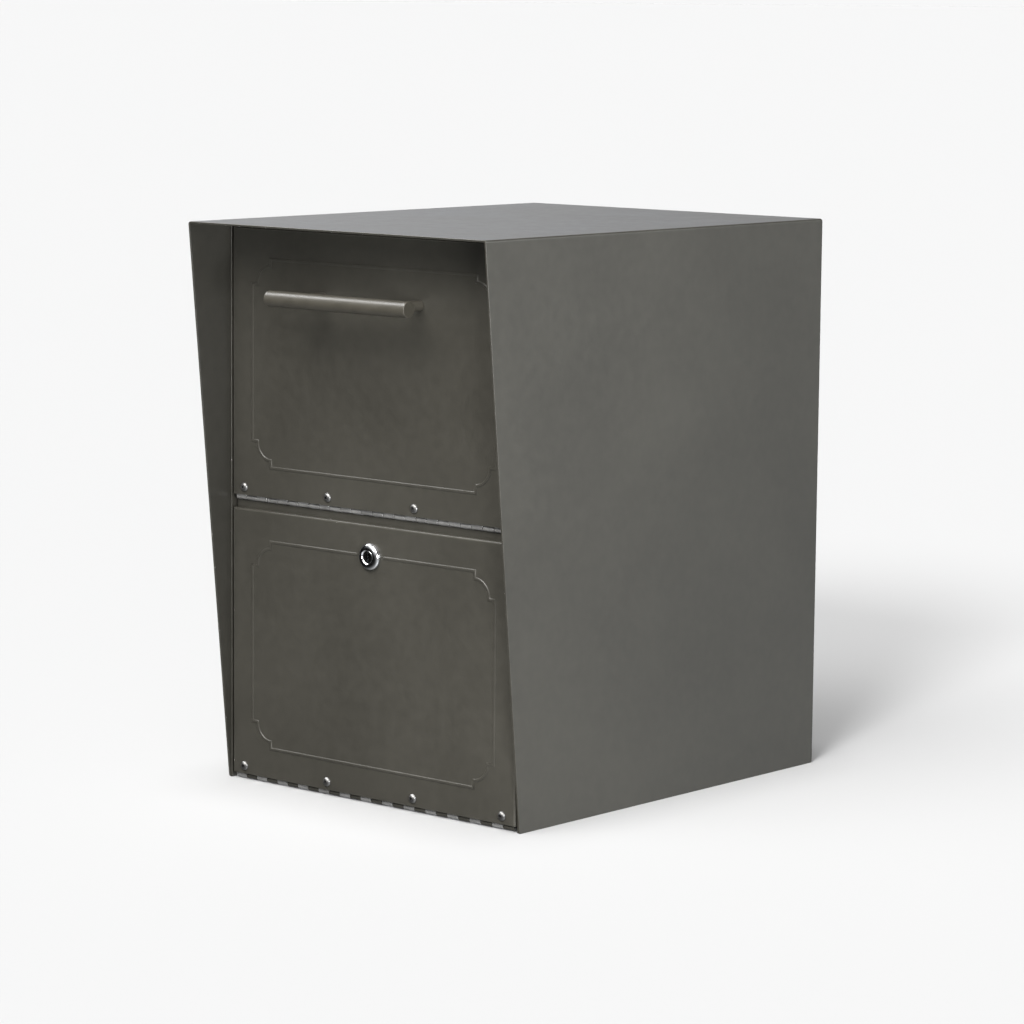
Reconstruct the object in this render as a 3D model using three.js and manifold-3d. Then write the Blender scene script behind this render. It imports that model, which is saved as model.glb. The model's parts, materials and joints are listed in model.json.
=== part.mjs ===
// A locking drop-box mailbox of painted sheet steel. A bent wrap forms the roof and sides and
// overhangs the front as a hood. Above, a pull-down hopper door takes parcels in. Below, a locked
// door opens the vault. Both doors turn on piano hinges along their lower edges.
// Frame: millimetres, +Z up, front towards -Y, +X to the right seen from the front, origin at
// the middle of the footprint.
import * as THREE from 'three';
import { mergeVertices } from 'three/addons/utils/BufferGeometryUtils.js';
import Module from 'manifold-3d';

const wasm = await Module();
wasm.setup();

// Overall size.
const WIDTH = 381;
const DEPTH = 508;
const HEIGHT = 552;
const HOOD_OVERHANG = 54;

// Sheet thicknesses and the clearance kept between neighbouring pieces.
const WRAP_SHEET = 1.9;
const BODY_SHEET = 1.5;
const LEAF_SHEET = 1.2;
const FIT = 0.3;

// Planes that everything is placed from.
const FRONT = -DEPTH / 2;
const BACK = DEPTH / 2;
const DOOR_FACE = FRONT + HOOD_OVERHANG;
const SKIN_BACK = DOOR_FACE + BODY_SHEET;
const DOOR_PAN_DEPTH = 4.8;
const FRAME_FACE = DOOR_FACE + 6.9;
const WRAP_BEND = 2.7;
const WRAP_INSIDE = WIDTH / 2 - WRAP_SHEET;
const LINER_OUTSIDE = WRAP_INSIDE - FIT;
const LINER_INSIDE = LINER_OUTSIDE - BODY_SHEET;
const ROOF_UNDERSIDE = HEIGHT - WRAP_SHEET;
const BACK_PANEL_DEPTH = 13.5;
const BACK_PANEL_REAR = BACK - 2.3;
const BACK_PANEL_FRONT = BACK_PANEL_REAR - BACK_PANEL_DEPTH;
const BODY_REAR = BACK_PANEL_FRONT - 0.5;

// Piano hinges, one along the lower edge of each door.
const PIN_Y = DOOR_FACE + 4.3;
const LOWER_PIN_Z = 3.3;
const UPPER_PIN_Z = 280.9;
const KNUCKLE_COUNT = 26;
const KNUCKLE_PITCH = 14;
const KNUCKLE_GAP = 0.4;
const KNUCKLE_RADIUS = 2.3;
const HINGE_BORE = 1.3;
const PIN_RADIUS = 1;
const HINGE_LENGTH = KNUCKLE_COUNT * KNUCKLE_PITCH;
const LEAF_START = KNUCKLE_RADIUS + 0.5;
const LEAF_REACH = 21;
const LEAF_FIXING_X = [-150, -56, 56, 150];
const RIVET_Z = UPPER_PIN_Z - 16;
const RIVET_HOLE_RADIUS = 2;
const SILL_SCREW_Y = PIN_Y + 15.6;

// Doors: their lower edges sit just above the hinge barrels.
const DOOR_HALF_WIDTH = 184.5;
const DOOR_ABOVE_PIN = 2.7;
const LOWER_DOOR_TOP = 270.5;
const UPPER_DOOR_TOP = 545.6;
const SCREW_X = [-168.5, -56.2, 56.2, 168.5];
const SCREW_ABOVE_PIN = 10.7;
const SCREW_HOLE_RADIUS = 2.3;

// Raised bead pressed into each door.
const BEAD_HALF_WIDTH = 157.5;
const BEAD_MARGIN_BOTTOM = 29.6;
const BEAD_MARGIN_TOP = 30;
const BEAD_CORNER_RUN = 25;
const BEAD_CORNER_STEP = 7;
const BEAD_RADIUS = BEAD_CORNER_RUN - BEAD_CORNER_STEP;
const BEAD_HALF = 1.9;
const BEAD_HEIGHT = 0.8;
const BEAD_ARC_STEPS = 8;

// Door frame behind the doors.
const OPENING_HALF_WIDTH = 174;
const RAIL_HALF_WIDTH = OPENING_HALF_WIDTH - FIT;
const FLANGE = 21;
const HEADER_BOTTOM = UPPER_PIN_Z + 257;
const CROSS_MEMBER_TOP = UPPER_PIN_Z + 2.1;
const SILL_TOP = 26;
const BUMPER_RADIUS = 4.4;
const BUMPER_THICKNESS = 1.5;
const BUMPER_X = OPENING_HALF_WIDTH + 6;
const BUMPER_HEIGHTS = { lower: 228, upper: 522 };

// Floor: its front strip is raised to clear the hinge leaf under it.
const STRIP_BOTTOM = 2.5;
const STRIP_REAR = -168;
const JOGGLE_REAR = -164;
const MOUNT_HOLE_X = [-100, 100];
const MOUNT_HOLE_Y = [-100, 150];
const MOUNT_HOLE_RADIUS = 5;

// Pull handle on the upper door.
const HANDLE_Z = 483;
const HANDLE_Y = DOOR_FACE - 45.5;
const HANDLE_RADIUS = 7.75;
const HANDLE_LENGTH = 180;
const POST_X = 62;
const POST_RADIUS = 5;
const HANDLE_SCREW_RADIUS = 2.5;

// Cam lock near the top of the lower door.
const LOCK_Z = 240;
const LOCK_BODY_RADIUS = 9.4;
const PLUG_RADIUS = 6;
const BODY_END = DOOR_FACE + 13.5;
const CAM_LENGTH = 27;
const CAM_SHEET = 2;
const CAM_HALF_WIDTH = 7;
const CAM_SCREW_RADIUS = 1.8;

// Hopper behind the upper door, given from the upper hinge pin: first back, then up.
const OPEN_ANGLE = 60;
const CHEEK_OUTSIDE = 171.5;
const CHEEK_SHEET = 1.2;
const CHEEK_RADIUS = 255;
const EAR_LENGTH = 30;
const EAR_MIDDLE = CHEEK_RADIUS - EAR_LENGTH / 2 - 1;
const TRAY_LEVEL = 4.6;
const TRAY_FLAT_END = 38;
const TRAY_SLOPE = 25;
const TRAY_SLOPE_LENGTH = 165;
const BAFFLE_Y = -30;
const BAFFLE_BOTTOM = 405;
const BAFFLE_HALF_WIDTH = 165;

// Where the cheeks end, so that their ears meet the rear of the jambs at the open angle.
const EAR_STOP = FRAME_FACE + BODY_SHEET - PIN_Y + CHEEK_SHEET + 2 * FIT;
const CHEEK_TRAIL = Math.acos(EAR_STOP / (EAR_MIDDLE - EAR_LENGTH / 2)) - radians(OPEN_ANGLE);

const box = new THREE.Group();

// ---------- materials ----------

function paint() {
  return new THREE.MeshStandardMaterial({ color: 0x4e4b43, roughness: 0.42, metalness: 0.35 });
}

function zincSteel() {
  return new THREE.MeshStandardMaterial({ color: 0xb9bcbd, roughness: 0.35, metalness: 0.9 });
}

function chrome() {
  return new THREE.MeshStandardMaterial({ color: 0xe2e4e6, roughness: 0.08, metalness: 1 });
}

function satinBronze() {
  return new THREE.MeshStandardMaterial({ color: 0x5f5c50, roughness: 0.38, metalness: 0.5 });
}

function rubber() {
  return new THREE.MeshStandardMaterial({ color: 0x161616, roughness: 0.85, metalness: 0 });
}

// ---------- geometry helpers ----------

function add(name, geometry, material) {
  const mesh = new THREE.Mesh(geometry, material);
  mesh.name = name;
  box.add(mesh);
  return mesh;
}

function solid(geometry) {
  const bare = geometry.clone();
  bare.deleteAttribute('normal');
  bare.deleteAttribute('uv');
  const merged = mergeVertices(bare, 1e-4);
  return new wasm.Manifold(new wasm.Mesh({
    numProp: 3,
    vertProperties: merged.attributes.position.array,
    triVerts: new Uint32Array(merged.index.array),
  }));
}

function geometryOf(shape) {
  const mesh = shape.getMesh();
  const geometry = new THREE.BufferGeometry();
  geometry.setAttribute('position', new THREE.BufferAttribute(mesh.vertProperties, 3));
  geometry.setIndex(new THREE.BufferAttribute(mesh.triVerts, 1));
  geometry.computeVertexNormals();
  return geometry;
}

function cut(base, ...tools) {
  return geometryOf(tools.reduce((left, tool) => left.subtract(solid(tool)), solid(base)));
}

function join(base, ...others) {
  return geometryOf(others.reduce((left, other) => left.add(solid(other)), solid(base)));
}

// A block between two opposite corners.
function block(x0, x1, y0, y1, z0, z1) {
  const geometry = new THREE.BoxGeometry(x1 - x0, y1 - y0, z1 - z0);
  return geometry.translate((x0 + x1) / 2, (y0 + y1) / 2, (z0 + z1) / 2);
}

function extrude(shape, depth) {
  return new THREE.ExtrudeGeometry(shape, { depth, bevelEnabled: false, curveSegments: 5 });
}

function outline(points) {
  return new THREE.Shape(points.map(([u, v]) => new THREE.Vector2(u, v)));
}

// An outline in the YZ plane, extruded from x0 to x1.
function profileAlongX(shape, x0, x1) {
  const turn = new THREE.Matrix4().makeBasis(
    new THREE.Vector3(0, 1, 0), new THREE.Vector3(0, 0, 1), new THREE.Vector3(1, 0, 0));
  return extrude(shape, x1 - x0).applyMatrix4(turn).translate(x0, 0, 0);
}

// An outline in the XZ plane, extruded from y0 to y1.
function profileAlongY(shape, y0, y1) {
  const turn = new THREE.Matrix4().makeBasis(
    new THREE.Vector3(1, 0, 0), new THREE.Vector3(0, 0, 1), new THREE.Vector3(0, -1, 0));
  return extrude(shape, y1 - y0).applyMatrix4(turn).translate(0, y1, 0);
}

function rodAlongX(radius, x0, x1, y, z, sides) {
  const rod = new THREE.CylinderGeometry(radius, radius, x1 - x0, sides).rotateZ(-Math.PI / 2);
  return rod.translate((x0 + x1) / 2, y, z);
}

function rodAlongY(radius, y0, y1, x, z, sides) {
  const rod = new THREE.CylinderGeometry(radius, radius, y1 - y0, sides);
  return rod.translate(x, (y0 + y1) / 2, z);
}

function rodAlongZ(radius, z0, z1, x, y, sides) {
  const rod = new THREE.CylinderGeometry(radius, radius, z1 - z0, sides).rotateX(Math.PI / 2);
  return rod.translate(x, y, (z0 + z1) / 2);
}

// A turned piece whose axis runs along +Y. Each point is [radius, y].
function turnedAlongY(points, sides) {
  return new THREE.LatheGeometry(points.map(([r, y]) => new THREE.Vector2(r, y)), sides);
}

function radians(degrees) {
  return degrees * Math.PI / 180;
}

// ---------- casing ----------

// Inverted U of the roof and both sides, with rounded bends.
function wrapOutline() {
  const half = WIDTH / 2;
  const inner = WRAP_BEND - WRAP_SHEET;
  const bendX = half - WRAP_BEND;
  const bendZ = HEIGHT - WRAP_BEND;
  const shape = new THREE.Shape();
  shape.moveTo(half, 0);
  shape.lineTo(half, bendZ);
  shape.absarc(bendX, bendZ, WRAP_BEND, 0, Math.PI / 2, false);
  shape.lineTo(-bendX, HEIGHT);
  shape.absarc(-bendX, bendZ, WRAP_BEND, Math.PI / 2, Math.PI, false);
  shape.lineTo(-half, 0);
  shape.lineTo(-WRAP_INSIDE, 0);
  shape.lineTo(-WRAP_INSIDE, bendZ);
  shape.absarc(-bendX, bendZ, inner, Math.PI, Math.PI / 2, true);
  shape.lineTo(bendX, ROOF_UNDERSIDE);
  shape.absarc(bendX, bendZ, inner, Math.PI / 2, 0, true);
  shape.lineTo(WRAP_INSIDE, 0);
  return shape;
}

// The sides slope back from the front of the roof to the foot of the doors.
function makeWrap() {
  const past = 5;
  const slope = outline([
    [FRONT - past, HEIGHT - WRAP_BEND],
    [FRONT, HEIGHT - WRAP_BEND],
    [DOOR_FACE, 0],
    [DOOR_FACE, -past],
    [FRONT - past, -past],
  ]);
  const sheet = profileAlongY(wrapOutline(), FRONT, BACK);
  add('outer_wrap', cut(sheet, profileAlongX(slope, -WIDTH, WIDTH)), paint());
}

// Pan that closes the rear, its flanges turned forward.
function makeBackPanel() {
  const top = ROOF_UNDERSIDE - FIT;
  const pan = block(-LINER_OUTSIDE, LINER_OUTSIDE, BACK_PANEL_FRONT, BACK_PANEL_REAR, 0, top);
  const hollow = block(
    -LINER_INSIDE, LINER_INSIDE, BACK_PANEL_FRONT - 1, BACK_PANEL_REAR - BODY_SHEET,
    BODY_SHEET, top - BODY_SHEET);
  add('back_panel', cut(pan, hollow), paint());
}

// Floor with a raised front strip and four holes for a post or pedestal plate.
function makeFloor() {
  const half = LINER_INSIDE - FIT;
  const section = outline([
    [FRAME_FACE, STRIP_BOTTOM],
    [STRIP_REAR, STRIP_BOTTOM],
    [JOGGLE_REAR, 0],
    [BODY_REAR, 0],
    [BODY_REAR, BODY_SHEET],
    [JOGGLE_REAR + 0.6, BODY_SHEET],
    [STRIP_REAR + 0.6, STRIP_BOTTOM + BODY_SHEET],
    [FRAME_FACE, STRIP_BOTTOM + BODY_SHEET],
  ]);
  const holes = MOUNT_HOLE_Y.flatMap((y) => MOUNT_HOLE_X.map(
    (x) => rodAlongZ(MOUNT_HOLE_RADIUS, -1, 3, x, y, 16)));
  const sheet = profileAlongX(section, -half, half);
  add('floor_panel', cut(sheet, ...holes, ...sillScrewHoles()), paint());
}

// Inner side sheets. Their front edges show beside the doors.
function makeLiners() {
  for (const [side, name] of [[-1, 'side_liner_left'], [1, 'side_liner_right']]) {
    const edges = [side * LINER_INSIDE, side * LINER_OUTSIDE].sort((a, b) => a - b);
    const top = ROOF_UNDERSIDE - FIT;
    add(name, block(...edges, DOOR_FACE + 0.6, BODY_REAR, FIT, top), paint());
  }
}

// ---------- door frame ----------

// Upright angle behind each side edge of the doors.
function makeJambs() {
  const outer = LINER_INSIDE - FIT;
  for (const [side, name] of [[-1, 'jamb_left'], [1, 'jamb_right']]) {
    const angle = outline([
      [OPENING_HALF_WIDTH, FRAME_FACE],
      [outer, FRAME_FACE],
      [outer, FRAME_FACE + FLANGE],
      [outer - BODY_SHEET, FRAME_FACE + FLANGE],
      [outer - BODY_SHEET, FRAME_FACE + BODY_SHEET],
      [OPENING_HALF_WIDTH, FRAME_FACE + BODY_SHEET],
    ].map(([x, y]) => [side * x, y]));
    const bottom = STRIP_BOTTOM + BODY_SHEET + FIT;
    const length = ROOF_UNDERSIDE - FIT - bottom;
    add(name, extrude(angle, length).translate(0, 0, bottom), paint());
  }
}

// An angle across the opening: an upright web and a flange turned back from its top or bottom.
function rail(bottom, top, flangeAtTop) {
  const web = block(
    -RAIL_HALF_WIDTH, RAIL_HALF_WIDTH, FRAME_FACE, FRAME_FACE + BODY_SHEET, bottom, top);
  const flangeBottom = flangeAtTop ? top - BODY_SHEET : bottom;
  const flange = block(
    -RAIL_HALF_WIDTH, RAIL_HALF_WIDTH, FRAME_FACE, FRAME_FACE + FLANGE,
    flangeBottom, flangeBottom + BODY_SHEET);
  return join(web, flange);
}

// Holes for the screws that fix the sill, the floor and the lower frame leaf together.
function sillScrewHoles() {
  return LEAF_FIXING_X.map((x) => rodAlongZ(RIVET_HOLE_RADIUS, 0, 8, x, SILL_SCREW_Y, 10));
}

// Holes for the rivets that fix the upper frame leaf to the cross member.
function rivetHoles() {
  return LEAF_FIXING_X.map(
    (x) => rodAlongY(RIVET_HOLE_RADIUS, FRAME_FACE - 3, FRAME_FACE + 3, x, RIVET_Z, 10));
}

function makeRails() {
  add('header_rail', rail(HEADER_BOTTOM, ROOF_UNDERSIDE - FIT, true), paint());
  const crossMember = rail(LOCK_Z + 11.5, CROSS_MEMBER_TOP, true);
  add('cross_member', cut(crossMember, ...rivetHoles()), paint());
  const sillBottom = STRIP_BOTTOM + BODY_SHEET + FIT;
  add('front_sill', cut(rail(sillBottom, SILL_TOP, false), ...sillScrewHoles()), paint());
}

// Plate hung from the roof that the open hopper closes against.
function makeBaffle() {
  const half = BAFFLE_HALF_WIDTH;
  const top = ROOF_UNDERSIDE - FIT;
  const plate = block(-half, half, BAFFLE_Y - BODY_SHEET, BAFFLE_Y, BAFFLE_BOTTOM, top);
  const flange = block(-half, half, BAFFLE_Y - BODY_SHEET, BAFFLE_Y + FLANGE, top - BODY_SHEET, top);
  add('rear_baffle', join(plate, flange), paint());
}

// Rubber stops on the jambs that quieten the doors.
function makeBumpers() {
  const back = FRAME_FACE - FIT;
  for (const [door, z] of Object.entries(BUMPER_HEIGHTS)) {
    for (const [side, hand] of [[-1, 'left'], [1, 'right']]) {
      const stop = rodAlongY(
        BUMPER_RADIUS, back - BUMPER_THICKNESS, back, side * BUMPER_X, z, 12);
      add(`${door}_bumper_${hand}`, stop, rubber());
    }
  }
}

// ---------- hinges ----------

// The knuckles of one leaf, every other one of the barrel, along X at the pin.
function knuckles(first, pinZ) {
  const rods = [];
  for (let index = first; index < KNUCKLE_COUNT; index += 2) {
    const start = -HINGE_LENGTH / 2 + index * KNUCKLE_PITCH + KNUCKLE_GAP / 2;
    const end = start + KNUCKLE_PITCH - KNUCKLE_GAP;
    rods.push({ start, end, rod: rodAlongX(KNUCKLE_RADIUS, start, end, PIN_Y, pinZ, 10) });
  }
  return rods;
}

// A leaf: a sheet beside the barrel, joined to each of its own knuckles by a short neck. The
// sheet's near and far surfaces, and how it runs away from the pin, are given by the caller.
function leaf(first, pinZ, sheet, neck, holes) {
  const rods = knuckles(first, pinZ);
  const necks = rods.map(({ start, end }) => neck(start, end));
  const whole = join(sheet, ...necks, ...rods.map(({ rod }) => rod));
  const bore = rodAlongX(HINGE_BORE, -HINGE_LENGTH, HINGE_LENGTH, PIN_Y, pinZ, 8);
  return cut(whole, bore, ...holes);
}

// The door leaf runs up behind the door skin, in front of the pin.
function doorLeaf(pinZ) {
  const half = HINGE_LENGTH / 2;
  const y0 = PIN_Y - KNUCKLE_RADIUS;
  const y1 = y0 + LEAF_SHEET;
  const sheet = block(-half, half, y0, y1, pinZ + LEAF_START, pinZ + LEAF_REACH);
  const neck = (start, end) => block(start, end, y0, y1, pinZ, pinZ + LEAF_START + 1);
  const holes = SCREW_X.map(
    (x) => rodAlongY(SCREW_HOLE_RADIUS, y0 - 1, y1 + 1, x, pinZ + SCREW_ABOVE_PIN, 10));
  return leaf(0, pinZ, sheet, neck, holes);
}

// The upper frame leaf hangs down in front of the cross member, behind the pin.
function upperFrameLeaf() {
  const half = HINGE_LENGTH / 2;
  const y1 = PIN_Y + KNUCKLE_RADIUS;
  const y0 = y1 - LEAF_SHEET;
  const top = UPPER_PIN_Z - LEAF_START;
  const sheet = block(-half, half, y0, y1, UPPER_PIN_Z - LEAF_REACH, top);
  const neck = (start, end) => block(start, end, y0, y1, top - 1, UPPER_PIN_Z);
  return leaf(1, UPPER_PIN_Z, sheet, neck, rivetHoles());
}

// The lower frame leaf runs back under the raised strip of the floor.
function lowerFrameLeaf() {
  const half = HINGE_LENGTH / 2;
  const z0 = LOWER_PIN_Z - KNUCKLE_RADIUS;
  const z1 = z0 + LEAF_SHEET;
  const near = PIN_Y + LEAF_START;
  const sheet = block(-half, half, near, PIN_Y + LEAF_REACH, z0, z1);
  const neck = (start, end) => block(start, end, PIN_Y, near + 1, z0, z1);
  return leaf(1, LOWER_PIN_Z, sheet, neck, sillScrewHoles());
}

function makeHinges() {
  const half = HINGE_LENGTH / 2;
  add('upper_hinge_frame_leaf', upperFrameLeaf(), zincSteel());
  add('upper_hinge_pin', rodAlongX(PIN_RADIUS, -half, half, PIN_Y, UPPER_PIN_Z, 8), zincSteel());
  add('upper_hinge_door_leaf', doorLeaf(UPPER_PIN_Z), zincSteel());
  add('lower_hinge_frame_leaf', lowerFrameLeaf(), zincSteel());
  add('lower_hinge_pin', rodAlongX(PIN_RADIUS, -half, half, PIN_Y, LOWER_PIN_Z, 8), zincSteel());
  add('lower_hinge_door_leaf', doorLeaf(LOWER_PIN_Z), zincSteel());
}

// ---------- fasteners ----------

// Button-head screw from the front, its socket open towards -Y. The head's seat is at y = 0.
function buttonScrew(length) {
  const headRadius = 4.6;
  const shank = 2;
  const body = turnedAlongY([
    [0, -2.7], [2.6, -2.5], [4.1, -1.5], [headRadius, -0.4], [headRadius, 0],
    [shank, 0], [shank, length], [0, length],
  ], 12);
  const socket = rodAlongY(1.6, -3, -1.1, 0, 0, 6);
  return cut(body, socket);
}

function hexNut(acrossFlats, thickness, bore, boreSides) {
  const corner = acrossFlats / Math.sqrt(3);
  const body = rodAlongY(corner, 0, thickness, 0, 0, 6);
  return cut(body, rodAlongY(bore, -1, thickness + 1, 0, 0, boreSides));
}

function makeDoorScrews(door, pinZ) {
  const seat = DOOR_FACE - FIT;
  const leafBack = PIN_Y - KNUCKLE_RADIUS + LEAF_SHEET;
  SCREW_X.forEach((x, index) => {
    const z = pinZ + SCREW_ABOVE_PIN;
    const screw = buttonScrew(6.2).translate(x, seat, z);
    add(`${door}_door_screw_${index + 1}`, screw, zincSteel());
    const nut = hexNut(7, 2.4, 2.4, 8).translate(x, leafBack + FIT, z);
    add(`${door}_door_nut_${index + 1}`, nut, zincSteel());
  });
}

// Flat rivets through the upper frame leaf and the cross member.
function makeRivets() {
  const front = PIN_Y + KNUCKLE_RADIUS - LEAF_SHEET - FIT;
  const rear = FRAME_FACE + BODY_SHEET + FIT;
  LEAF_FIXING_X.forEach((x, index) => {
    const body = turnedAlongY([
      [0, front - 1], [2.2, front - 0.9], [3, front], [1.7, front], [1.7, rear],
      [2.6, rear], [2.2, rear + 1], [0, rear + 1],
    ], 10);
    add(`hinge_rivet_${index + 1}`, body.translate(x, 0, RIVET_Z), zincSteel());
  });
}

// Screws down through the sill and floor into the lower frame leaf.
function makeSillScrews() {
  const seat = STRIP_BOTTOM + 2 * BODY_SHEET + 2 * FIT;
  const tip = LOWER_PIN_Z - KNUCKLE_RADIUS + FIT;
  LEAF_FIXING_X.forEach((x, index) => {
    const head = rodAlongZ(3.4, seat, seat + 1.8, x, SILL_SCREW_Y, 12);
    const shank = rodAlongZ(1.7, tip, seat + 1, x, SILL_SCREW_Y, 10);
    add(`sill_screw_${index + 1}`, join(head, shank), zincSteel());
  });
}

// ---------- doors ----------

// The bead's outline, moved outwards by shift. Each corner steps in to a quarter round.
function beadOutline(halfHeight, shift) {
  const radius = BEAD_RADIUS + shift;
  const turn = Math.asin(shift / radius);
  const centreX = BEAD_HALF_WIDTH - BEAD_CORNER_RUN;
  const centreZ = halfHeight - BEAD_CORNER_RUN;
  const corner = [];
  corner.push([centreX + shift, halfHeight + shift]);
  for (let step = 0; step <= BEAD_ARC_STEPS; step += 1) {
    const angle = Math.PI / 2 - turn - step / BEAD_ARC_STEPS * (Math.PI / 2 - 2 * turn);
    corner.push([centreX + radius * Math.cos(angle), centreZ + radius * Math.sin(angle)]);
  }
  corner.push([BEAD_HALF_WIDTH + shift, centreZ + shift]);
  const back = corner.slice().reverse();
  return outline([
    ...corner,
    ...back.map(([x, z]) => [x, -z]),
    ...corner.map(([x, z]) => [-x, -z]),
    ...back.map(([x, z]) => [-x, z]),
  ]);
}

function bead(bottom, top) {
  const halfHeight = (top - BEAD_MARGIN_TOP - bottom - BEAD_MARGIN_BOTTOM) / 2;
  const middle = bottom + BEAD_MARGIN_BOTTOM + halfHeight;
  const front = DOOR_FACE - BEAD_HEIGHT;
  const rear = DOOR_FACE + BODY_SHEET / 2;
  const whole = profileAlongY(beadOutline(halfHeight, BEAD_HALF), front, rear);
  const within = profileAlongY(beadOutline(halfHeight, -BEAD_HALF), front - 1, rear + 1);
  return cut(whole, within).translate(0, 0, middle);
}

// Shallow pan with its side and top edges turned back, holed for the hinge screws.
function doorPan(pinZ, top) {
  const bottom = pinZ + DOOR_ABOVE_PIN;
  const back = DOOR_FACE + DOOR_PAN_DEPTH;
  const pan = block(-DOOR_HALF_WIDTH, DOOR_HALF_WIDTH, DOOR_FACE, back, bottom, top);
  const inside = DOOR_HALF_WIDTH - BODY_SHEET;
  const hollow = block(-inside, inside, SKIN_BACK, back + 1, bottom - 1, top - BODY_SHEET);
  const screwHoles = SCREW_X.map(
    (x) => rodAlongY(
      SCREW_HOLE_RADIUS, DOOR_FACE - 1, SKIN_BACK + 1, x, pinZ + SCREW_ABOVE_PIN, 10));
  return { pan: cut(pan, hollow, ...screwHoles), bottom };
}

function makeUpperDoor() {
  const { pan, bottom } = doorPan(UPPER_PIN_Z, UPPER_DOOR_TOP);
  const beaded = join(pan, bead(bottom, UPPER_DOOR_TOP));
  const handleHoles = [-POST_X, POST_X].map(
    (x) => rodAlongY(
      HANDLE_SCREW_RADIUS + 0.4, DOOR_FACE - 2, SKIN_BACK + 1, x, HANDLE_Z, 12));
  add('upper_door_panel', cut(beaded, ...handleHoles), paint());
}

function makeLowerDoor() {
  const { pan, bottom } = doorPan(LOWER_PIN_Z, LOWER_DOOR_TOP);
  const lockClearance = rodAlongY(16.4, DOOR_FACE - 2, DOOR_FACE + 3, 0, LOCK_Z, 32);
  const broken = cut(bead(bottom, LOWER_DOOR_TOP), lockClearance);
  const lockHole = rodAlongY(LOCK_BODY_RADIUS + FIT, DOOR_FACE - 2, SKIN_BACK + 1, 0, LOCK_Z, 24);
  add('lower_door_panel', cut(join(pan, broken), lockHole), paint());
}

// ---------- pull handle ----------

function makeHandle() {
  const half = HANDLE_LENGTH / 2;
  const bar = rodAlongX(HANDLE_RADIUS, -half, half, HANDLE_Y, HANDLE_Z, 24);
  add('handle_bar', bar, satinBronze());
  const saddle = rodAlongX(HANDLE_RADIUS + FIT, -half, half, HANDLE_Y, HANDLE_Z, 24);
  const seat = DOOR_FACE - FIT;
  for (const [side, hand] of [[-1, 'left'], [1, 'right']]) {
    const x = side * POST_X;
    const post = rodAlongY(POST_RADIUS, HANDLE_Y + 2, seat, x, HANDLE_Z, 16);
    const tapping = rodAlongY(
      HANDLE_SCREW_RADIUS + FIT, seat - 14, seat + 1, x, HANDLE_Z, 12);
    add(`handle_post_${hand}`, cut(post, saddle, tapping), satinBronze());
    const headFace = SKIN_BACK + FIT;
    const head = rodAlongY(5, headFace, headFace + 2.6, x, HANDLE_Z, 14);
    const shank = rodAlongY(HANDLE_SCREW_RADIUS, seat - 12, headFace + 1, x, HANDLE_Z, 12);
    add(`handle_screw_${hand}`, join(head, shank), zincSteel());
  }
}

// ---------- hopper ----------

function fromPin(points) {
  return points.map(([back, up]) => [PIN_Y + back, UPPER_PIN_Z + up]);
}

function trayEnd(below) {
  const slope = radians(TRAY_SLOPE);
  const back = TRAY_FLAT_END + TRAY_SLOPE_LENGTH * Math.cos(slope);
  const up = TRAY_LEVEL - TRAY_SLOPE_LENGTH * Math.sin(slope);
  return [back - below * Math.sin(slope), up - below * Math.cos(slope)];
}

// Tray between the cheeks. It slopes down to the rear, so that a parcel slides into the vault.
function makeTray() {
  const half = CHEEK_OUTSIDE - CHEEK_SHEET - FIT;
  const bendShift = BODY_SHEET * Math.tan(radians(TRAY_SLOPE / 2));
  const section = outline(fromPin([
    [5.7, TRAY_LEVEL],
    [TRAY_FLAT_END, TRAY_LEVEL],
    trayEnd(0),
    trayEnd(-BODY_SHEET),
    [TRAY_FLAT_END + bendShift, TRAY_LEVEL + BODY_SHEET],
    [5.7, TRAY_LEVEL + BODY_SHEET],
  ]));
  add('hopper_tray', profileAlongX(section, -half, half), paint());
}

// Side of the hopper: a sector about the hinge pin, cut away at the foot for the screws' nuts.
function cheekOutline() {
  const start = Math.PI / 2 + Math.asin(2.2 / CHEEK_RADIUS);
  const arcSteps = 16;
  const arc = [];
  for (let step = 0; step <= arcSteps; step += 1) {
    const angle = CHEEK_TRAIL + step / arcSteps * (start - CHEEK_TRAIL);
    arc.push([CHEEK_RADIUS * Math.cos(angle), CHEEK_RADIUS * Math.sin(angle)]);
  }
  return outline(fromPin([
    [3.5, TRAY_LEVEL - 1.2],
    [TRAY_FLAT_END, TRAY_LEVEL - 1.2],
    trayEnd(1.2),
    ...arc,
    [-2.2, 24],
    [3.5, 24],
  ]));
}

// The flange fixes the cheek to the door, and the ear meets the jamb when the hopper is open.
function makeCheeks() {
  const inside = CHEEK_OUTSIDE - CHEEK_SHEET;
  for (const [side, hand] of [[-1, 'left'], [1, 'right']]) {
    const span = (a, b) => [side * a, side * b].sort((left, right) => left - right);
    const plate = profileAlongX(cheekOutline(), ...span(inside, CHEEK_OUTSIDE));
    const flange = block(
      ...span(CHEEK_OUTSIDE - 14, CHEEK_OUTSIDE), SKIN_BACK + FIT, SKIN_BACK + FIT + CHEEK_SHEET,
      UPPER_PIN_Z + 25, UPPER_PIN_Z + CHEEK_RADIUS - 6);
    const [x0, x1] = span(inside, CHEEK_OUTSIDE + 10.5);
    const ear = new THREE.BoxGeometry(x1 - x0, EAR_LENGTH, CHEEK_SHEET)
      .translate((x0 + x1) / 2, EAR_MIDDLE, CHEEK_SHEET / 2)
      .rotateX(CHEEK_TRAIL)
      .translate(0, PIN_Y, UPPER_PIN_Z);
    add(`hopper_cheek_${hand}`, join(plate, flange, ear), paint());
  }
}

// ---------- lock ----------

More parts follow.
